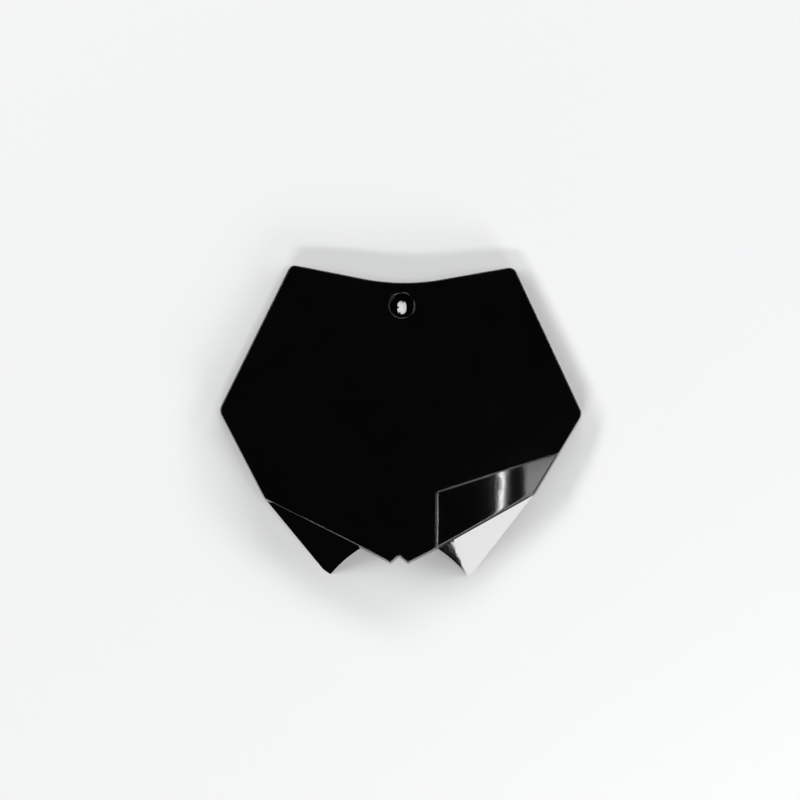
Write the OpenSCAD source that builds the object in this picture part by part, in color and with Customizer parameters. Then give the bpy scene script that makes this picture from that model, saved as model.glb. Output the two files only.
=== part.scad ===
// Front number plate for an off-road motorcycle: one injection-moulded shell.
// It is drawn with its front face up (+Z) and its top edge towards +Y, then laid on its back
// so that it rests on the two wing tips and on the rim at the two top corners.

/* [Plate outline] */
// Width between the two side corners, the widest place
plate_w = 260; // [240:1:290]
// Width between the two top corners
top_w = 160; // [140:1:180]
// Height of the top corners above the side corners
upper_h = 105; // [98:1:125]
// Depth of the shallow V in the top edge
valley_d = 15; // [6:1:16]
// Width between the two lower corners, where the wings begin
lower_w = 191; // [170:1:205]
// Drop from the side corners to the left lower corner
lower_drop = 63; // [54:1:66]
// Drop from the side corners to the right lower corner, below the sunk panel
panel_drop = 57; // [54:1:66]
// Width of the middle tongue, where the wings end
tongue_w = 43; // [40:1:52]
// Drop from the side corners to the root of the tongue
tongue_drop = 100; // [94:1:102]
// Distance between the two points of the tongue
tip_w = 12; // [10:1:16]
// Drop from the side corners to the points of the tongue
tip_drop = 108; // [106:1:113]
// Height of the V notch between the points of the tongue
notch_h = 5; // [3:0.5:6]

/* [Shell] */
// Wall thickness of the moulding
wall = 2.4; // [2:0.1:3]
// Depth of the rim behind the face
rim_d = 9; // [8:0.5:12]
// Draft angle of the rim
draft = 9; // [5:1:12]
// Radius of the sideways crown of the face
crown_r = 800; // [600:10:1200]
// Radius of the soft valley in the top edge
valley_r = 150; // [60:5:200]
// Corner radius of the top and side corners
corner_r = 6; // [4:0.5:9]
// Corner radius of the lower corners
lower_r = 4; // [3:0.5:6]

/* [Sunk panel] */
// Distance from the middle of the plate to the panel's inner edge
panel_x = 25; // [24:1:36]
// Drop from the side corners to the panel's inner top corner
panel_y = 57; // [50:1:62]
// Drop from the side corners to the place where the panel's top edge meets the rim
panel_side_y = 28; // [24:1:36]
// Depth of the panel at its inner top corner
panel_d = 1.4; // [1:0.1:2]
// Extra tilt of the panel towards the lower edge
panel_tilt = 2.6; // [1:0.1:4]
// Extra tilt of the panel towards the side
panel_roll = 1.2; // [0:0.1:2]

/* [Screw cup] */
// Height of the screw above the side corners
cup_y = 75; // [68:1:76]
// Radius of the cup that takes the screw's collar
cup_r = 8.8; // [8:0.1:10]
// Depth of the cup
cup_d = 10; // [8:0.5:11]
// Thickness of the cup's floor, on which the screw's collar sits
seat_t = 2.6; // [2:0.1:3]
// Width of the upright slot for the screw
slot_w = 6.4; // [6.2:0.1:7]
// Length of the upright slot for the screw
slot_l = 9.6; // [8:0.1:11]
// Reach of the three nibs that hold the screw in the slot
nib_l = 1.3; // [0.8:0.1:1.6]
// Thickness of the nibs
nib_t = 0.9; // [0.7:0.1:1.2]

/* [Wings] */
// Distance from the middle of the plate to a wing's tip
wing_x = 50; // [46:1:56]
// Drop from the side corners to a wing's tip
wing_y = 116; // [109:1:119]
// Depth of a wing's tip behind the face
wing_d = 32; // [30:1:40]
// Share of the wing's root that its flat outer part takes
wing_flat = 0.74; // [0.66:0.02:0.8]
// Rise of the arc in the wing's inner edge
arc_rise = 2; // [1:0.5:3]
// Length cut off each wing's point, so that it rests flat
tip_flat = 2.5; // [2:0.5:5]

/* [Rear] */
// Distance of each hook from the middle
hook_x = 17; // [14:1:19]
// Drop from the side corners to the hooks
hook_y = 86; // [80:1:90]
// Width of a hook
hook_w = 12; // [8:1:14]
// Thickness of a hook
hook_t = 3; // [2.5:0.1:4]
// Reach of a hook behind the face
hook_l = 24; // [20:1:26]
// Length of the catch on a hook's end
catch_l = 3; // [2:0.5:4]
// Thickness of the ribs
rib_t = 1.6; // [1.2:0.1:2]
// Depth of the ribs behind the face
rib_d = 7.5; // [6:0.5:8]
// Length of the ribs beside the cup
rib_l = 34; // [28:1:40]

/* [Hidden] */
black = [0.03, 0.03, 0.035];
big = 2 * plate_w;
arc_steps = 6;
tip_r = 1;
notch_r = 0.8;
lip = 0.8;
cup_fn = 96;
crown_fn = 360;
nib_angles = [80, 180, 250];
boss_r = cup_r + wall;
boss_d = cup_d + seat_t;
rim_in = rim_d * tan(draft);
root = 3;
catch_t = 3;
tuck = 0.3;
turn_in = 6;
crease = 0.05;
rim_top = rim_d - crown(top_w / 2);
tilt = atan((wing_d - rim_top) / (upper_h + wing_y));

// Half width of the outline at the side corners: less there, as the rim flares on the crown
side_w = plate_w / 2 - flare(plate_w / 2) + corner_r * 0.12;

corners = concat(
    [[[0, upper_h - valley_d], valley_r]],
    [for (c = half_outline(lower_drop)) [[-c[0][0], c[0][1]], c[1]]],
    [[[0, -tip_drop + notch_h], notch_r]],
    [for (i = [4:-1:0]) half_outline(panel_drop)[i]]
);

// Where the floor touches the rim, and half way between the top edge and the wing tips
lowest = max([for (p = outline(0)) p[1] * sin(tilt) + (rim_d - crown(p[0])) * cos(tilt)]);
middle = ((wing_y - upper_h) * cos(tilt) + wing_d * sin(tilt)) / 2;

// Half of the outline at the rim's rear edge, each corner with its radius
function half_outline(drop) = [
    [[top_w / 2, upper_h], corner_r],
    [[side_w, 0], corner_r],
    [[lower_w / 2, -drop], lower_r],
    [[tongue_w / 2, -tongue_drop], lower_r],
    [[tip_w / 2, -tip_drop], tip_r]
];

function unit(v) = v / norm(v);
function side(v) = [v[1], -v[0]];
function crown(x) = sqrt(crown_r * crown_r - x * x) - crown_r;
function flare(x) = -crown(x) * tan(draft);
function at(list, i) = list[(i + len(list)) % len(list)];

// The corner points moved outwards by d, each along the bisector of its two edges
function moved(d) = [
    for (i = [0:len(corners) - 1])
        let (p = corners[i][0],
             n1 = side(unit(p - at(corners, i - 1)[0])),
             n2 = side(unit(at(corners, i + 1)[0] - p)))
        p + d * (n1 + n2) / (1 + n1 * n2)
];

// The outline moved outwards by d, with its corners rounded
function outline(d) =
    let (pts = moved(d))
    [
        for (i = [0:len(pts) - 1])
            let (e1 = unit(pts[i] - at(pts, i - 1)),
                 e2 = unit(at(pts, i + 1) - pts[i]),
                 turn = atan2(e1[0] * e2[1] - e1[1] * e2[0], e1 * e2),
                 way = sign(turn),
                 r = max(corners[i][1] + way * d, tip_r / 2),
                 s = side(e1) * way * r,
                 centre = pts[i] - e1 * r * tan(abs(turn) / 2) - s)
            for (k = [0:arc_steps])
                let (a = turn * k / arc_steps)
                centre + [s[0] * cos(a) - s[1] * sin(a), s[0] * sin(a) + s[1] * cos(a)]
    ];

// The drafted block that the shell is cut from, moved inwards by the given amount
module drafted(inset) {
    low = outline(2 * rim_in - inset);
    high = outline(-2 * rim_in - inset);
    n = len(low);
    points = concat(
        [for (p = low) [p[0], p[1], -3 * rim_d]],
        [for (p = high) [p[0], p[1], rim_d]],
        [[0, 0, -3 * rim_d], [0, 0, rim_d]]
    );
    faces = [
        for (i = [0:n - 1])
            let (j = (i + 1) % n)
            for (f = [[i, n + i, n + j], [i, n + j, j], [2 * n, i, j], [2 * n + 1, n + j, n + i]])
                f
    ];
    polyhedron(points = points, faces = faces);
}

// Everything below the crowned surface, which is sunk by the given depth
module below_crown(depth) {
    translate([0, 0, -crown_r])
        rotate([90, 0, 0])
            cylinder(r = crown_r - depth, h = big, center = true, $fn = crown_fn);
}

// The same surface sunk and tilted as the floor of the sunk panel
module below_panel(depth) {
    pivot = [panel_x, -panel_y, crown(panel_x)];
    translate(pivot)
        rotate([panel_tilt, panel_roll, 0])
            translate(-pivot)
                below_crown(panel_d + depth);
}

// The room above the sunk panel, grown sideways and sunk by the given amount
module panel_room(grow) {
    side_x = side_w - panel_side_y * (side_w - lower_w / 2) / panel_drop;
    slope = (panel_y - panel_side_y) / (side_x - panel_x);
    left = panel_x - grow;
    top = grow - panel_y;
    difference() {
        translate([0, 0, -plate_w / 4])
            linear_extrude(plate_w / 2)
                polygon([
                    [left, top - slope * grow],
                    [left, -plate_w],
                    [plate_w, -plate_w],
                    [plate_w, top + slope * (plate_w - panel_x)]
                ]);
        below_panel(grow);
    }
}

// The outer form of the shell, or its inner form when moved inwards
module form(inset) {
    difference() {
        intersection() {
            drafted(inset);
            below_crown(inset);
        }
        panel_room(inset);
    }
}

module shell() {
    difference() {
        form(0);
        below_crown(rim_d);
        form(wall);
    }
}

// A flat sheet: its outer side passes through the origin and holds both directions,
// and its outline is given as steps from the origin
module sheet(origin, a, b, shape) {
    ex = unit(a);
    ez = unit(cross(a, b));
    ey = cross(ez, ex);
    multmatrix([
        [ex[0], ey[0], ez[0], origin[0]],
        [ex[1], ey[1], ez[1], origin[1]],
        [ex[2], ey[2], ez[2], origin[2]],
        [0, 0, 0, 1]
    ])
        translate([0, 0, -wall])
            linear_extrude(wall)
                polygon([for (p = shape) [p * ex, p * ey]]);
}

// A folded-back wing that begins at a lower corner: a flat outer part, and an inner part that
// turns inwards at the ridge
module wing(drop) {
    reach = 0.7 * flare(lower_w / 2) - tuck;
    outer = [lower_w / 2 + reach, -drop - reach, crown(lower_w / 2) - rim_d];
    inner = [tongue_w / 2, -tongue_drop + tuck, crown(tongue_w / 2) - rim_d];
    ridge = outer + (inner - outer) * wing_flat;
    turned = inner + [0, turn_in, 0];
    foot = [wing_x, -wing_y, -wing_d];
    tip = foot + unit(foot - ridge) * tip_flat;
    fold = ridge - tip;
    chord = turned - tip;
    lift = unit(fold) * root;
    bow = unit(cross(cross(chord, fold), chord)) * arc_rise * 4;
    sheet(outer, ridge - outer, tip - outer, [
        [0, 0, 0],
        tip - outer,
        ridge - outer + lift,
        lift
    ]);
    sheet(tip - crease * unit(cross(fold, chord)), fold, chord, concat(
        [for (k = [0:arc_steps])
            let (s = k / arc_steps)
            chord * s + bow * s * (1 - s)],
        [chord + lift * 2, fold + lift]
    ));
}

// Profile of a hook seen from the side, from the face's back to the catch on its end
module hook() {
    translate([hook_w / 2, -hook_y, 0])
        rotate([90, 0, -90])
            linear_extrude(hook_w)
                polygon([
                    [0, crown(hook_x + hook_w / 2) - wall / 2],
                    [0, -hook_l],
                    [-hook_t, -hook_l],
                    [-hook_t - catch_l, -hook_l + catch_t / 2],
                    [-hook_t - catch_l, -hook_l + catch_t],
                    [-hook_t, -hook_l + catch_t + catch_l / 2],
                    [-hook_t, crown(hook_x + hook_w / 2) - wall / 2]
                ]);
}

// The boss behind the cup, with a cross of ribs that ties it to the face and to the top rim
module boss() {
    intersection() {
        translate([0, cup_y, -boss_d])
            union() {
                cylinder(r = boss_r, h = boss_d, $fn = cup_fn);
                translate([-boss_r - rib_l, -rib_t / 2, boss_d - rib_d])
                    cube([2 * (boss_r + rib_l), rib_t, rib_d]);
                translate([-rib_t / 2, -boss_r - rib_l, boss_d - rib_d])
                    cube([rib_t, 2 * (boss_r + rib_l), rib_d]);
            }
        form(wall / 2);
    }
}

// Distance from the slot's middle to its edge, in the given direction
function slot_edge(a) =
    let (r = slot_w / 2, half = slot_l / 2 - r, c = abs(cos(a)), s = abs(sin(a)))
    r * s <= half * c ? r / c : half * s + sqrt(r * r - half * half * c * c);

// The slot in the cup's floor, with the nibs left standing in it
module slot() {
    half = slot_l / 2 - slot_w / 2;
    difference() {
        union() {
            translate([-slot_w / 2, -half, 0])
                cube([slot_w, 2 * half, 2 * boss_d]);
            for (y = [-half, half])
                translate([0, y, 0])
                    cylinder(d = slot_w, h = 2 * boss_d, $fn = cup_fn);
        }
        for (a = nib_angles)
            rotate([0, 0, a])
                translate([slot_edge(a) - nib_l, -nib_t / 2, -1])
                    cube([2 * nib_l, nib_t, 2 * boss_d + 2]);
    }
}

// The room of the cup and its slot, open to the front
module cup_room() {
    translate([0, cup_y, 0]) {
        translate([0, 0, -cup_d])
            cylinder(r = cup_r, h = 2 * cup_d, $fn = cup_fn);
        translate([0, 0, -lip])
            cylinder(r1 = cup_r, r2 = cup_r + 2 * lip, h = 2 * lip, $fn = cup_fn);
        translate([0, 0, -cup_d - seat_t - 1])
            slot();
    }
}

// Turns the plate over onto its back, and sets it on the floor over the middle
module lay() {
    translate([0, middle, lowest])
        rotate([-tilt, 0, 0])
            children();
}

module number_plate() {
    color(black)
        difference() {
            lay()
                difference() {
                    union() {
                        shell();
                        boss();
                        for (m = [0, 1])
                            mirror([m, 0, 0]) {
                                wing(m == 0 ? panel_drop : lower_drop);
                                translate([hook_x, 0, 0])
                                    hook();
                            }
                    }
                    cup_room();
                }
            translate([-big / 2, -big / 2, -big])
                cube(big);
        }
}

number_plate();
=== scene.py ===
"""Front number plate for an off-road motorcycle, lying face up on a white floor.

The CAD node is replaced by one detailed moulding: the same outline, crown, rim, cup, sunk panel,
wings, hooks and ribs, with the small radii that the real moulding has on its edges.
Lengths are in millimetres in the plate's own frame (front face up, top edge towards +Y) until
LAY turns them into the row's frame in metres.
"""

import math

import bmesh
import bpy
from mathutils import Matrix, Vector
from mathutils.geometry import tessellate_polygon


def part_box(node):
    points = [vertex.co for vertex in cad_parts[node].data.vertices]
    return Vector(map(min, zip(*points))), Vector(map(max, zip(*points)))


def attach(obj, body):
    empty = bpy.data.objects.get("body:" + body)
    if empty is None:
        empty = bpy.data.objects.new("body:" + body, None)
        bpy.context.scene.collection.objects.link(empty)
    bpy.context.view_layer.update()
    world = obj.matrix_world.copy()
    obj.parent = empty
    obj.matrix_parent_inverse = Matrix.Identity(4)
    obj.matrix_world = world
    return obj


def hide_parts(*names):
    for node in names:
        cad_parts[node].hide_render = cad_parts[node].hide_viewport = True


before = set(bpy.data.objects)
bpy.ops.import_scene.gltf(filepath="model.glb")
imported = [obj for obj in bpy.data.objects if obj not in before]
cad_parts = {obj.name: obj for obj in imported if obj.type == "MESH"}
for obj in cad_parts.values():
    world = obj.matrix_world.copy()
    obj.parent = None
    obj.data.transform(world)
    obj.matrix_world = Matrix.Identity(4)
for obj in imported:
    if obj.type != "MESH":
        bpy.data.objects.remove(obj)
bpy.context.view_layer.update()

# ---------------------------------------------------------------- sizes, as in the CAD model
MM = 0.001
PLATE_W = 260.0
TOP_W, UPPER_H, VALLEY_D = 160.0, 105.0, 15.0
LOWER_W, LOWER_DROP, PANEL_DROP = 191.0, 63.0, 57.0
TONGUE_W, TONGUE_DROP = 43.0, 100.0
TIP_W, TIP_DROP, NOTCH_H = 12.0, 108.0, 5.0
WALL, RIM_D, DRAFT, CROWN_R = 2.4, 9.0, math.radians(9), 800.0
VALLEY_R, CORNER_R, LOWER_R, TIP_R, NOTCH_R = 150.0, 6.0, 4.0, 1.0, 0.8
CORNER_LOSS = 0.12    # share of its radius that a side corner's rounding takes off the width
PANEL_X, PANEL_Y, PANEL_SIDE_Y, PANEL_D = 25.0, 57.0, 28.0, 1.4
PANEL_TILT, PANEL_ROLL = math.radians(2.6), math.radians(1.2)
CUP_Y, CUP_R, CUP_D, SEAT_T = 75.0, 8.8, 10.0, 2.6
SLOT_W, SLOT_L, NIB_L, NIB_T = 6.4, 9.6, 1.3, 0.9
NIB_ANGLES = (80, 180, 250)
WING_X, WING_Y, WING_D, WING_FLAT = 50.0, 116.0, 32.0, 0.74
ARC_RISE, TIP_FLAT, TURN_IN, TUCK = 2.0, 2.5, 6.0, 0.3
WING_REACH = 0.7      # share of the rim's flare that a wing's outer end follows
WING_LIFT = 3.0       # how far a wing's root reaches up into the rim
HOOK_X, HOOK_Y, HOOK_W, HOOK_T, HOOK_L, CATCH_L, CATCH_T = 17.0, 86.0, 12.0, 3.0, 24.0, 3.0, 3.0
RIB_T, RIB_D, RIB_L = 1.6, 7.5, 34.0
BOSS_R, BOSS_D = CUP_R + WALL, CUP_D + SEAT_T
TAN_DRAFT = math.tan(DRAFT)

# ---------------------------------------------------------------- what only the looks have
FACE_FILLET = 1.0     # round between the face and the rim
INNER_FILLET = 1.0    # the same behind the face
REAR_ROUND = 0.35     # round on the rim's rear edge
LIP_R = 0.85          # round on the cup's lip
FLOOR_R = 0.5         # round between the cup's wall and its floor
SLOT_EDGE = 0.12      # bevel on the slot's edges
BOSS_EDGE, BOSS_ROOT = 0.5, 0.8    # round on the boss's end, and where it meets the face's back
RIB_ROOT, RIB_EDGE = 0.8, 0.3      # how far a rib reaches into the boss, and its edges' bevel
HOOK_EDGE = 0.35      # bevel on a hook's edges
STEP_W = 0.9          # width of the step down to the sunk panel
PANEL_R = 2.0         # radius of the sunk panel's inner corner
WING_BEND, TIP_BEND = 5.0, 1.6     # half width of the bend along a wing's ridge, root and tip
WING_EDGE = 0.5       # round on a wing's free edge
BORDER = 0.7          # flat strip beside the face's fillets
MIN_R = 0.5           # smallest radius of an outline corner
FLARE_MIN = 0.02      # a flare below this moves nothing
SHARP = math.radians(34)           # edges that turn more than this stay sharp
ARC_STEPS, CUP_STEPS, SLOT_STEPS = 10, 96, 120
CROWN_STEP = 4.0      # width of the strips that bend the face into its crown
STEP_CUTS = 7         # cuts across the panel's step


def crown(x):
    return math.sqrt(CROWN_R * CROWN_R - x * x) - CROWN_R


def flare(x):
    return -crown(x) * TAN_DRAFT


TILT = math.atan((WING_D - RIM_D + crown(TOP_W / 2)) / (UPPER_H + WING_Y))
SIDE_W = PLATE_W / 2 - flare(PLATE_W / 2) + CORNER_R * CORNER_LOSS


def half_outline(drop):
    """The corners of one half of the plate, from the top to the tongue, each with its radius."""
    return [
        ((TOP_W / 2, UPPER_H), CORNER_R),
        ((SIDE_W, 0.0), CORNER_R),
        ((LOWER_W / 2, -drop), LOWER_R),
        ((TONGUE_W / 2, -TONGUE_DROP), LOWER_R),
        ((TIP_W / 2, -TIP_DROP), TIP_R),
    ]


CORNERS = (
    [((0.0, UPPER_H - VALLEY_D), VALLEY_R)]
    + [((-p[0], p[1]), r) for p, r in half_outline(LOWER_DROP)]
    + [((0.0, -TIP_DROP + NOTCH_H), NOTCH_R)]
    + half_outline(PANEL_DROP)[::-1]
)


def outline(d):
    """The outline moved outwards by d, with round corners; always the same number of points."""
    n = len(CORNERS)
    pts = []
    for i in range(n):
        p = Vector(CORNERS[i][0])
        e1 = (p - Vector(CORNERS[i - 1][0])).normalized()
        e2 = (Vector(CORNERS[(i + 1) % n][0]) - p).normalized()
        n1, n2 = Vector((e1.y, -e1.x)), Vector((e2.y, -e2.x))
        q = p + d * (n1 + n2) / (1 + n1.dot(n2))
        turn = math.atan2(e1.x * e2.y - e1.y * e2.x, e1.dot(e2))
        way = 1 if turn > 0 else -1
        r = max(CORNERS[i][1] + way * d, MIN_R)
        s = n1 * way * r
        centre = q - e1 * r * math.tan(abs(turn) / 2) - s
        for k in range(ARC_STEPS + 1):
            a = turn * k / ARC_STEPS
            c, w = math.cos(a), math.sin(a)
            pts.append(Vector((centre.x + s.x * c - s.y * w, centre.y + s.x * w + s.y * c)))
    return pts


LOWEST = max(
    p.y * math.sin(TILT) + (RIM_D - crown(p.x)) * math.cos(TILT) for p in outline(0)
)
MIDDLE = ((WING_Y - UPPER_H) * math.cos(TILT) + WING_D * math.sin(TILT)) / 2
LAY = (
    Matrix.Scale(MM, 4)
    @ Matrix.Translation((0, MIDDLE, LOWEST))
    @ Matrix.Rotation(-TILT, 4, "X")
)


def ring(d, z):
    """One ring round the plate: the flare makes it follow the drafted rim on the crowned face."""
    out = []
    for i, p in enumerate(outline(d)):
        q = outline(d + flare(p.x))[i] if abs(flare(p.x)) > FLARE_MIN else p
        out.append((q.x, q.y, z))
    return out


def circle(r, z):
    """A circle round the cup's axis."""
    turns = [2 * math.pi * k / CUP_STEPS for k in range(CUP_STEPS)]
    return [(r * math.cos(a), CUP_Y + r * math.sin(a), z) for a in turns]


def slot_ring(grow, z):
    """The slot's outline with the three nibs that reach into it."""
    r = SLOT_W / 2 + grow
    half = SLOT_L / 2 - SLOT_W / 2

    def edge(a):
        c, s = abs(math.cos(a)), abs(math.sin(a))
        if r * s <= half * c:
            return r / c
        return half * s + math.sqrt(r * r - half * half * c * c)

    nibs = [math.radians(b) for b in NIB_ANGLES]
    clear = 0.2    # angle that is kept free of other points on each side of a nib
    pts = []
    for k in range(SLOT_STEPS):
        a = 2 * math.pi * k / SLOT_STEPS
        if all(abs(math.remainder(a - b, 2 * math.pi)) >= clear for b in nibs):
            pts.append((a, edge(a)))
    for b in nibs:
        # half of a nib's outline, from its flared root to its blunt end
        e = edge(b)
        w = NIB_T / 2 - grow * 0.5
        half_nib = [(e, w + 0.25), (e - 0.2, w), (e - NIB_L + 0.3, w), (e - NIB_L, w * 0.45)]
        for u, v in [(u, -v) for u, v in half_nib] + half_nib[::-1]:
            pts.append((b + math.atan2(v, u), math.hypot(u, v)))
    pts.sort(key=lambda t: (t[0] % (2 * math.pi)))
    return [(q * math.cos(a), CUP_Y + q * math.sin(a), z) for a, q in pts]


class Builder:
    """Collects vertices and faces for one closed mesh."""

    def __init__(self):
        self.verts, self.faces = [], []

    def loop(self, pts):
        start = len(self.verts)
        self.verts += [tuple(p) for p in pts]
        return list(range(start, start + len(pts)))

    def bands(self, loops):
        """Joins each closed loop to the next one."""
        for a, b in zip(loops, loops[1:]):
            for i in range(len(a)):
                j = (i + 1) % len(a)
                self.faces.append((a[i], a[j], b[j], b[i]))

    def strips(self, lines):
        """Joins each open line of points to the next one."""
        for a, b in zip(lines, lines[1:]):
            for i in range(len(a) - 1):
                self.faces.append((a[i], a[i + 1], b[i + 1], b[i]))

    def cap(self, outer, inner, up):
        """Fills the flat area between an outer loop and a hole."""
        loops = [[Vector(self.verts[i]) for i in loop] for loop in (outer, inner)]
        index = outer + inner
        for t in tessellate_polygon(loops):
            a, b, c = (Vector(self.verts[index[i]]) for i in t)
            normal = (b - a).cross(c - a)
            f = tuple(index[i] for i in t)
            self.faces.append(f if (normal.z > 0) == up else f[::-1])

    def mesh(self, name):
        me = bpy.data.meshes.new(name)
        me.from_pydata(self.verts, [], self.faces)
        me.update()
        return me


def arc(cu, cz, r, a0, a1, steps):
    """Points of an arc in a section, from angle a0 to a1 in degrees, both ends included."""
    return [
        (cu + r * math.cos(math.radians(a0 + (a1 - a0) * k / steps)),
         cz + r * math.sin(math.radians(a0 + (a1 - a0) * k / steps)))
        for k in range(steps + 1)
    ]


def shell_body():
    """The closed shell before it is crowned: rim, face, cup and boss in one skin."""
    b = Builder()
    draft, sin_d, cos_d = math.degrees(DRAFT), math.sin(DRAFT), math.cos(DRAFT)

    def rim_line(z):
        """Offset of the rim's outer side at depth z."""
        return -(z + RIM_D) * TAN_DRAFT

    # outer skin, from the face's edge down to the rim's rear edge
    upper, lower = -4.0, -5.0    # depths of one ring half-way down the rim, outside and inside
    rf = FACE_FILLET
    cd = rim_line(-rf + rf * sin_d) - rf * cos_d
    outer = [(cd - BORDER, 0.0)] + arc(cd, -rf, rf, 90, draft, 8)
    outer += [(rim_line(z), z) for z in (upper, -RIM_D + REAR_ROUND)]
    outer += [(-REAR_ROUND * 0.35, -RIM_D + 0.08)]
    # inner skin, from the rear edge back up to the face's back
    ri, thick = INNER_FILLET, WALL / cos_d
    inner = [(-REAR_ROUND, -RIM_D), (-thick + REAR_ROUND, -RIM_D)]
    inner += [(-thick - REAR_ROUND * 0.2, -RIM_D + REAR_ROUND)]
    inner += [(rim_line(lower) - thick, lower)]
    ci = rim_line(-WALL - ri + ri * sin_d) - thick - ri * cos_d
    inner += arc(ci, -WALL - ri, ri, draft, 90, 5)
    inner += [(ci - BORDER, -WALL)]
    rings = [b.loop(ring(d, z)) for d, z in outer + inner]
    b.bands(rings)
    # cup, from its lip down to its floor
    cup = [(CUP_R + LIP_R + 0.5, 0.0)] + arc(CUP_R + LIP_R, -LIP_R, LIP_R, 90, 180, 7)
    cup += arc(CUP_R - FLOOR_R, -CUP_D + FLOOR_R, FLOOR_R, 0, -90, 4)
    cup_rings = [b.loop(circle(r, z)) for r, z in cup]
    b.bands(cup_rings)
    b.cap(rings[0], cup_rings[0], True)
    slot = [(SLOT_EDGE, -CUP_D), (0.0, -CUP_D - SLOT_EDGE)]
    slot += [(0.0, -BOSS_D + SLOT_EDGE), (SLOT_EDGE, -BOSS_D)]
    slot_rings = [b.loop(slot_ring(g, z)) for g, z in slot]
    b.bands(slot_rings)
    b.cap(cup_rings[-1], slot_rings[0], True)
    # boss behind the cup, back up to the face's back
    boss = arc(BOSS_R - BOSS_EDGE, -BOSS_D + BOSS_EDGE, BOSS_EDGE, -90, 0, 4)
    boss += arc(BOSS_R + BOSS_ROOT, -WALL - BOSS_ROOT, BOSS_ROOT, 180, 90, 5)
    boss += [(BOSS_R + BOSS_ROOT + 0.6, -WALL)]
    boss_rings = [b.loop(circle(r, z)) for r, z in boss]
    b.bands(boss_rings)
    b.cap(boss_rings[0], slot_rings[-1], False)
    b.cap(rings[-1], boss_rings[-1], False)
    return b.mesh("shell")


def profile_solid(name, profile, place, length, bevel):
    """A profile pushed along its own +Z by length, with bevelled edges, placed by a matrix."""
    bm = bmesh.new()
    verts = [bm.verts.new((x, y, 0)) for x, y in profile]
    face = bm.faces.new(verts)
    out = bmesh.ops.extrude_face_region(bm, geom=[face])
    far = [v for v in out["geom"] if isinstance(v, bmesh.types.BMVert)]
    bmesh.ops.translate(bm, verts=far, vec=(0, 0, length))
    bmesh.ops.recalc_face_normals(bm, faces=bm.faces)
    bmesh.ops.bevel(bm, geom=bm.edges[:], offset=bevel, segments=2, affect="EDGES", profile=0.5,
                    clamp_overlap=True)
    bmesh.ops.recalc_face_normals(bm, faces=bm.faces)
    bm.transform(place)
    me = bpy.data.meshes.new(name)
    bm.to_mesh(me)
    bm.free()
    return me


def rib(x0, x1, y0, y1):
    """A stiffening rib on the face's back; it is rooted in the wall and in the boss."""
    profile = [(0, 0), (x1 - x0, 0), (x1 - x0, y1 - y0), (0, y1 - y0)]
    place = Matrix.Translation((x0, y0, -RIB_D))
    return profile_solid("rib", profile, place, RIB_D - WALL * 0.6, RIB_EDGE)


def hook(side):
    """A hook behind the tongue, with its catch pointing up the plate."""
    top = crown(HOOK_X + HOOK_W / 2) - WALL / 2
    profile = [
        (0, top), (0, -HOOK_L), (-HOOK_T, -HOOK_L),
        (-HOOK_T - CATCH_L, -HOOK_L + CATCH_T / 2), (-HOOK_T - CATCH_L, -HOOK_L + CATCH_T),
        (-HOOK_T, -HOOK_L + CATCH_T + CATCH_L / 2), (-HOOK_T, top),
    ]
    place = (
        Matrix.Translation((side * HOOK_X + HOOK_W / 2, -HOOK_Y, 0))
        @ Matrix.Rotation(math.radians(-90), 4, "Z")
        @ Matrix.Rotation(math.radians(90), 4, "X")
    )
    return profile_solid("hook", profile, place, HOOK_W, HOOK_EDGE)


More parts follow.
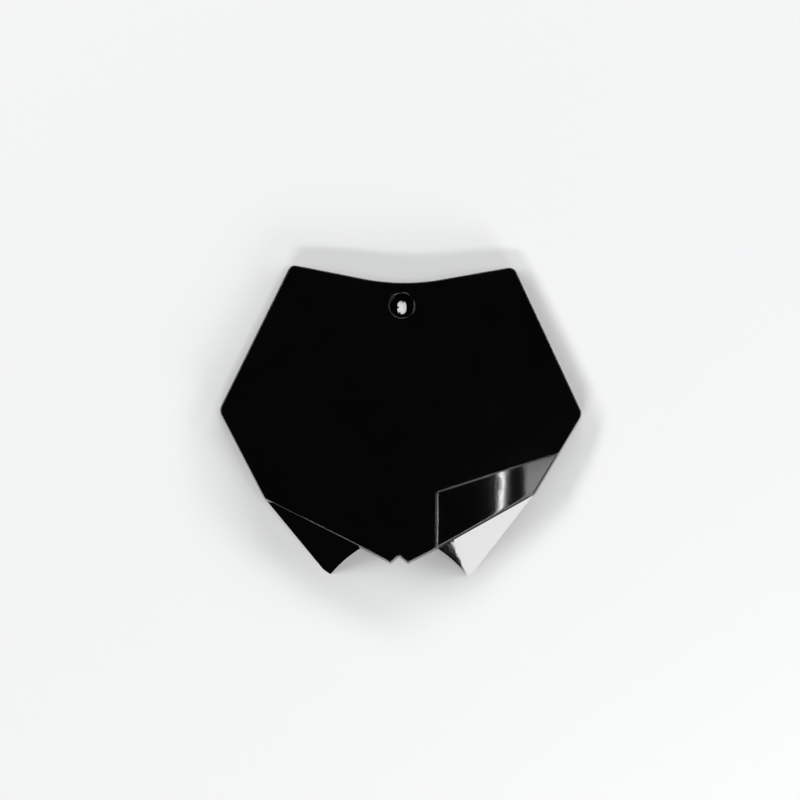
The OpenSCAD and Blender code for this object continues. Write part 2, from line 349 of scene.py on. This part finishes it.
def wing(side):
    """A folded-back wing: a ruled skin with a soft bend along its ridge and a round free edge."""
    reach = WING_REACH * flare(LOWER_W / 2) - TUCK
    drop = PANEL_DROP if side > 0 else LOWER_DROP
    outer = Vector((LOWER_W / 2 + reach, -drop - reach, crown(LOWER_W / 2) - RIM_D))
    inner = Vector((TONGUE_W / 2, -TONGUE_DROP + TUCK, crown(TONGUE_W / 2) - RIM_D))
    ridge = outer + (inner - outer) * WING_FLAT
    turned = inner + Vector((0, TURN_IN, 0))
    foot = Vector((WING_X, -WING_Y, -WING_D))
    tip = foot + (foot - ridge).normalized() * TIP_FLAT
    fold = ridge - tip
    chord = turned - tip
    lift = fold.normalized() * WING_LIFT
    bow = chord.cross(fold).cross(chord).normalized() * ARC_RISE * 4

    def column(u):
        """Root and free end at u, from 0 at the outer corner over 1 at the ridge to 2."""
        if u <= 1:
            return outer.lerp(ridge, u) + lift, outer.lerp(tip, u)
        s = u - 1
        return ridge.lerp(turned, s) + lift * (1 + s), tip + chord * s + bow * s * (1 - s)

    # columns: flat part, bend along the ridge, turned-in part
    flat, bend, turn, rows = 22, 8, 12, 10
    wa = WING_BEND / (ridge - outer).length
    wb = WING_BEND / (turned - ridge).length
    share = TIP_BEND / WING_BEND
    cols = [column(k / flat * (1 - wa)) for k in range(flat + 1)]
    roots = [column(u)[0] for u in (1 - wa, 1, 1 + wb)]
    ends = [column(u)[1] for u in (1 - wa * share, 1, 1 + wb * share)]
    for k in range(1, bend):
        t = k / bend
        w = ((1 - t) ** 2, 2 * t * (1 - t), t * t)
        cols.append([sum((p * q for p, q in zip(w, pts)), Vector()) for pts in (roots, ends)])
    cols += [column(1 + wb + (1 - wb) * k / turn) for k in range(turn + 1)]
    grid = [[a.lerp(b, r / rows) for r in range(rows + 1)] for a, b in cols]
    nc = len(grid)

    def normal(i, j):
        du = grid[min(i + 1, nc - 1)][j] - grid[max(i - 1, 0)][j]
        dv = grid[i][min(j + 1, rows)] - grid[i][max(j - 1, 0)]
        return du.cross(dv).normalized()

    normals = [[normal(i, j) for j in range(rows + 1)] for i in range(nc)]
    b = Builder()

    def skin(depth):
        """The sheet at a depth, row by row; its last row stops short of the free edge."""
        sheet = []
        for line, facing in zip(grid, normals):
            col = [p - n * depth for p, n in zip(line, facing)]
            col[-1] = col[-1] + (col[-2] - col[-1]).normalized() * WING_EDGE
            sheet.append(col)
        return [b.loop(row) for row in zip(*sheet)]

    front, back = skin(0.0), skin(WALL)
    # the free edge: three lines bulge between the two sheets
    free = []
    for frac in (0.2, 0.5, 0.8):
        short = WING_EDGE * (1 - math.sin(math.pi * frac))
        free.append(b.loop([
            line[-1] - (line[-1] - line[-2]).normalized() * short - facing[-1] * WALL * frac
            for line, facing in zip(grid, normals)
        ]))
    # one closed skin: front, free edge, back, and the root edge between back and front
    lines = front + free + back[::-1]
    b.strips(lines + [front[0]])
    b.faces.append(tuple(line[0] for line in lines))
    b.faces.append(tuple(line[-1] for line in lines[::-1]))
    bm = bmesh.new()
    me = b.mesh("wing")
    bm.from_mesh(me)
    if side < 0:
        bm.transform(Matrix.Scale(-1, 4, (1, 0, 0)))
    for v in bm.verts:
        v.co.z -= crown(v.co.x)
    bmesh.ops.recalc_face_normals(bm, faces=bm.faces)
    bm.to_mesh(me)
    bm.free()
    return me


def scene_object(me):
    """Links an object that holds the mesh and has its name."""
    ob = bpy.data.objects.new(me.name, me)
    bpy.context.scene.collection.objects.link(ob)
    return ob


def union(body, parts):
    """Joins the parts to the body with exact booleans, so that the moulding is one skin."""
    ob = scene_object(body)
    others = [scene_object(p) for p in parts]
    for other in others:
        mod = ob.modifiers.new("join", "BOOLEAN")
        mod.operation = "UNION"
        mod.solver = "EXACT"
        mod.object = other
    graph = bpy.context.evaluated_depsgraph_get()
    me = bpy.data.meshes.new_from_object(ob.evaluated_get(graph))
    for o in [ob] + others:
        bpy.data.objects.remove(o)
    return me


def smooth(t):
    """A soft step from 0 to 1."""
    t = min(max(t, 0.0), 1.0)
    return t * t * (3 - 2 * t)


SIDE_X = SIDE_W - PANEL_SIDE_Y * (SIDE_W - LOWER_W / 2) / PANEL_DROP
TOP_LINE = Vector((SIDE_X - PANEL_X, PANEL_Y - PANEL_SIDE_Y)).normalized()
TOP_NORMAL = Vector((TOP_LINE.y, -TOP_LINE.x))


def panel_sink(x, y):
    """Depth of the sunk panel under a point of the face, with soft steps at its two borders."""
    s1 = x - PANEL_X
    s2 = (Vector((x, y)) - Vector((PANEL_X, -PANEL_Y))).dot(TOP_NORMAL)
    if s1 < PANEL_R and s2 < PANEL_R:
        s = PANEL_R - math.hypot(PANEL_R - s1, PANEL_R - s2)
    else:
        s = min(s1, s2)
    if s <= 0:
        return 0.0
    tilted = PANEL_D - (y + PANEL_Y) * math.tan(PANEL_TILT)
    depth = tilted + (x - PANEL_X) * math.tan(PANEL_ROLL)
    return max(depth, 0.0) * smooth(s / STEP_W)


def cut(bm, point, normal, dist=1e-5, clear=False):
    """Cuts every face along a plane, and clears what is in front of it if told to."""
    bmesh.ops.bisect_plane(bm, geom=bm.verts[:] + bm.edges[:] + bm.faces[:], dist=dist,
                           plane_co=point, plane_no=normal, clear_outer=clear)


def moulding():
    """The whole plate as one skin, crowned, sunk at the panel and laid on the floor."""
    near, far, half = CUP_R + RIB_ROOT, BOSS_R + RIB_L, RIB_T / 2
    ribs = [
        rib(-far, -near, CUP_Y - half, CUP_Y + half),
        rib(near, far, CUP_Y - half, CUP_Y + half),
        rib(-half, half, CUP_Y - far, CUP_Y - near),
        rib(-half, half, CUP_Y + near, UPPER_H - VALLEY_D - 0.6),
    ]
    me = union(shell_body(), ribs + [hook(1), hook(-1), wing(1), wing(-1)])
    bm = bmesh.new()
    bm.from_mesh(me)
    # strips for the crown, and finer ones across the panel's steps
    for k in range(int(PLATE_W / CROWN_STEP)):
        cut(bm, (-PLATE_W / 2 + (k + 0.5) * CROWN_STEP, 0, 0), (1, 0, 0))
    for k in range(-1, STEP_CUTS + 2):
        off = k * STEP_W / STEP_CUTS
        cut(bm, (PANEL_X + off, 0, 0), (1, 0, 0))
        p = Vector((PANEL_X, -PANEL_Y)) + TOP_NORMAL * off
        cut(bm, (p.x, p.y, 0), (TOP_NORMAL.x, TOP_NORMAL.y, 0))
    # the panel sinks fully down to this depth, and below it less and less towards the rim's edge
    sink_full, sink_none = -3.8, -RIM_D + 0.4
    for v in bm.verts:
        x, y, z = v.co
        hold = min(max((z - sink_none) / (sink_full - sink_none), 0.0), 1.0)
        if hold > 0 and y < 0 < x:
            z -= panel_sink(x, y) * hold
        v.co.z = z + crown(x)
    bm.transform(LAY)
    # the wing tips end flat on the floor
    cut(bm, (0, 0, 0), (0, 0, -1), 1e-8, True)
    bmesh.ops.remove_doubles(bm, verts=bm.verts, dist=2e-7)
    bmesh.ops.holes_fill(bm, edges=[e for e in bm.edges if len(e.link_faces) == 1], sides=0)
    bmesh.ops.recalc_face_normals(bm, faces=bm.faces)
    for f in bm.faces:
        f.smooth = True
    for e in bm.edges:
        e.smooth = len(e.link_faces) == 2 and e.calc_face_angle(0) < SHARP
    out = bpy.data.meshes.new("number_plate_moulding")
    bm.to_mesh(out)
    bm.free()
    ob = scene_object(out)
    mod = ob.modifiers.new("normals", "WEIGHTED_NORMAL")
    mod.mode = "FACE_AREA"
    mod.keep_sharp = True
    return ob


# ---------------------------------------------------------------- material
def gloss_black():
    """Nearly black, polished plastic with faint clouding, dust, smudges and orange peel."""
    mat = bpy.data.materials.new("gloss_black_plastic")
    mat.use_nodes = True
    nodes, links = mat.node_tree.nodes, mat.node_tree.links
    nodes.clear()
    out = nodes.new("ShaderNodeOutputMaterial")
    shader = nodes.new("ShaderNodeBsdfPrincipled")
    links.new(shader.outputs["BSDF"], out.inputs["Surface"])
    shader.inputs["IOR"].default_value = 1.5
    coord = nodes.new("ShaderNodeTexCoord")

    def noise(scale, detail, rough=0.5, distortion=0.0):
        n = nodes.new("ShaderNodeTexNoise")
        n.inputs["Scale"].default_value = scale
        n.inputs["Detail"].default_value = detail
        n.inputs["Roughness"].default_value = rough
        n.inputs["Distortion"].default_value = distortion
        links.new(coord.outputs["Object"], n.inputs["Vector"])
        return n

    def ramp(src, stops):
        """A colour ramp; a stop is its place and a grey level or a colour."""
        r = nodes.new("ShaderNodeValToRGB")
        while len(r.color_ramp.elements) < len(stops):
            r.color_ramp.elements.new(0.5)
        for e, (pos, val) in zip(r.color_ramp.elements, stops):
            e.position = pos
            e.color = (*val, 1) if isinstance(val, tuple) else (val, val, val, 1)
        links.new(src, r.inputs["Fac"])
        return r

    # colour: a faint cloudy variation and rare dust specks
    cloud = noise(28.0, 3.0)
    dark, light = (0.0007, 0.0007, 0.0008), (0.0014, 0.0014, 0.0015)
    tone = ramp(cloud.outputs["Fac"], [(0.3, dark), (0.7, light)])
    speck = nodes.new("ShaderNodeTexVoronoi")
    speck.inputs["Scale"].default_value = 260.0
    links.new(coord.outputs["Object"], speck.inputs["Vector"])
    dust = ramp(speck.outputs["Distance"], [(0.0, 1.0), (0.045, 1.0), (0.075, 0.0)])
    where = ramp(noise(9.0, 2.0).outputs["Fac"], [(0.52, 0.0), (0.72, 0.35)])
    amount = nodes.new("ShaderNodeMath")
    amount.operation = "MULTIPLY"
    links.new(dust.outputs["Color"], amount.inputs[0])
    links.new(where.outputs["Color"], amount.inputs[1])
    mix = nodes.new("ShaderNodeMix")
    mix.data_type = "RGBA"
    links.new(amount.outputs["Value"], mix.inputs["Factor"])
    links.new(tone.outputs["Color"], mix.inputs["A"])
    mix.inputs["B"].default_value = (0.03, 0.029, 0.028, 1)
    links.new(mix.outputs["Result"], shader.inputs["Base Color"])

    # roughness: faint smudges and fine rub marks
    smudge = ramp(noise(14.0, 4.0, 0.6, 0.4).outputs["Fac"], [(0.35, 0.03), (0.8, 0.07)])
    rub = ramp(noise(900.0, 2.0).outputs["Fac"], [(0.5, 0.0), (0.85, 0.02)])
    add = nodes.new("ShaderNodeMath")
    add.operation = "ADD"
    links.new(smudge.outputs["Color"], add.inputs[0])
    links.new(rub.outputs["Color"], add.inputs[1])
    links.new(add.outputs["Value"], shader.inputs["Roughness"])

    # bump: a fine orange peel and the very slight waves of a moulded skin
    peel = nodes.new("ShaderNodeBump")
    peel.inputs["Strength"].default_value = 0.06
    peel.inputs["Distance"].default_value = 0.00012
    links.new(noise(1100.0, 2.0).outputs["Fac"], peel.inputs["Height"])
    wave = nodes.new("ShaderNodeBump")
    wave.inputs["Strength"].default_value = 0.35
    wave.inputs["Distance"].default_value = 0.00045
    links.new(noise(32.0, 1.0).outputs["Fac"], wave.inputs["Height"])
    links.new(peel.outputs["Normal"], wave.inputs["Normal"])
    links.new(wave.outputs["Normal"], shader.inputs["Normal"])
    return mat


plate = moulding()
plate.data.materials.append(gloss_black())
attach(plate, "root")
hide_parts("number_plate")

# ---------------------------------------------------------------- floor
FLOOR = 1.35    # half of the floor's side, in metres
floor_mesh = bpy.data.meshes.new("floor")
corners = [(-FLOOR, -FLOOR, 0), (FLOOR, -FLOOR, 0), (FLOOR, FLOOR, 0), (-FLOOR, FLOOR, 0)]
floor_mesh.from_pydata(corners, [], [(0, 1, 2, 3)])
floor = scene_object(floor_mesh)
floor_mat = bpy.data.materials.new("floor_white")
floor_mat.use_nodes = True
floor_shader = floor_mat.node_tree.nodes["Principled BSDF"]
floor_shader.inputs["Base Color"].default_value = (0.86, 0.865, 0.87, 1)
floor_shader.inputs["Roughness"].default_value = 0.9
floor_shader.inputs["Specular IOR Level"].default_value = 0.1
floor_mesh.materials.append(floor_mat)


# ---------------------------------------------------------------- lights, in metres and watts
def area(name, at, look, size, power):
    """A rectangular light at a point, facing another one."""
    light = bpy.data.lights.new(name, "AREA")
    light.shape = "RECTANGLE"
    light.size, light.size_y = size
    light.energy = power
    ob = bpy.data.objects.new(name, light)
    ob.location = at
    ob.rotation_euler = (Vector(look) - Vector(at)).to_track_quat("-Z", "Y").to_euler()
    bpy.context.scene.collection.objects.link(ob)
    return ob


# a low softbox at the front right, which the right wing mirrors
area("softbox_wing", (0.875, -1.27, 0.40), (0.06, -0.08, 0.0), (0.62, 0.36), 12)
# a narrow strip and a dimmer panel high up at the right, which the sunk panel mirrors
area("strip_right", (0.655, -0.10, 2.0), (0.655, -0.10, 0.0), (0.009, 0.5), 1.3)
area("panel_right", (0.93, -0.22, 1.9), (0.93, -0.22, 0.0), (0.34, 0.56), 3.0)
# broad soft light for the floor, outside what the face mirrors
area("fill_left", (-2.2, 0.9, 1.5), (0, 0, 0), (2.6, 0.5), 47)
area("fill_back", (0.6, 2.4, 1.4), (0, 0, 0), (2.8, 0.5), 38)
area("fill_front", (-0.9, -2.5, 1.6), (0, 0, 0), (1.8, 0.3), 42)
area("fill_right", (2.5, 0.7, 1.1), (0, 0, 0), (2.4, 0.6), 30)
# the floor under the screw slot, which shines through it
under = LAY @ Vector((0, CUP_Y, -BOSS_D - 0.4))
glow = area("under_slot", under, (under.x, under.y, 0), (0.008, 0.011), 0.00022)
glow.data.spread = math.radians(150)

world = bpy.data.worlds.new("studio")
bpy.context.scene.world = world
world.use_nodes = True
# dark for what the gloss mirrors, pale where the camera looks past the floor
backdrop = world.node_tree.nodes["Background"]
backdrop.inputs["Color"].default_value = (0.95, 0.98, 1.0, 1)
path = world.node_tree.nodes.new("ShaderNodeLightPath")
level = world.node_tree.nodes.new("ShaderNodeMapRange")
level.inputs["To Min"].default_value = 0.02
level.inputs["To Max"].default_value = 0.86
world.node_tree.links.new(path.outputs["Is Camera Ray"], level.inputs["Value"])
world.node_tree.links.new(level.outputs["Result"], backdrop.inputs["Strength"])
bpy.context.scene.view_settings.view_transform = "Standard"

# ---------------------------------------------------------------- camera, straight above
CAM_H = 1.1                # height above the floor, in metres
SENSOR = 36.0
VIEW_W = 0.5744            # width that it sees at the height of the side corners
OFF_X, OFF_Y = -0.0006, 0.00919    # from the plate's middle and from its side corners
ROLL = math.radians(0.6)
low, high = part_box("number_plate")
side = LAY @ Vector((PLATE_W / 2, 0, crown(PLATE_W / 2) - RIM_D))
cam_data = bpy.data.cameras.new("camera")
cam_data.sensor_width = SENSOR
cam_data.lens = SENSOR * (CAM_H - side.z) / VIEW_W
cam = bpy.data.objects.new("camera", cam_data)
cam.location = ((low[0] + high[0]) / 2 + OFF_X, side.y + OFF_Y, CAM_H)
cam.rotation_euler = (0, 0, ROLL)
bpy.context.scene.collection.objects.link(cam)
bpy.context.scene.camera = cam
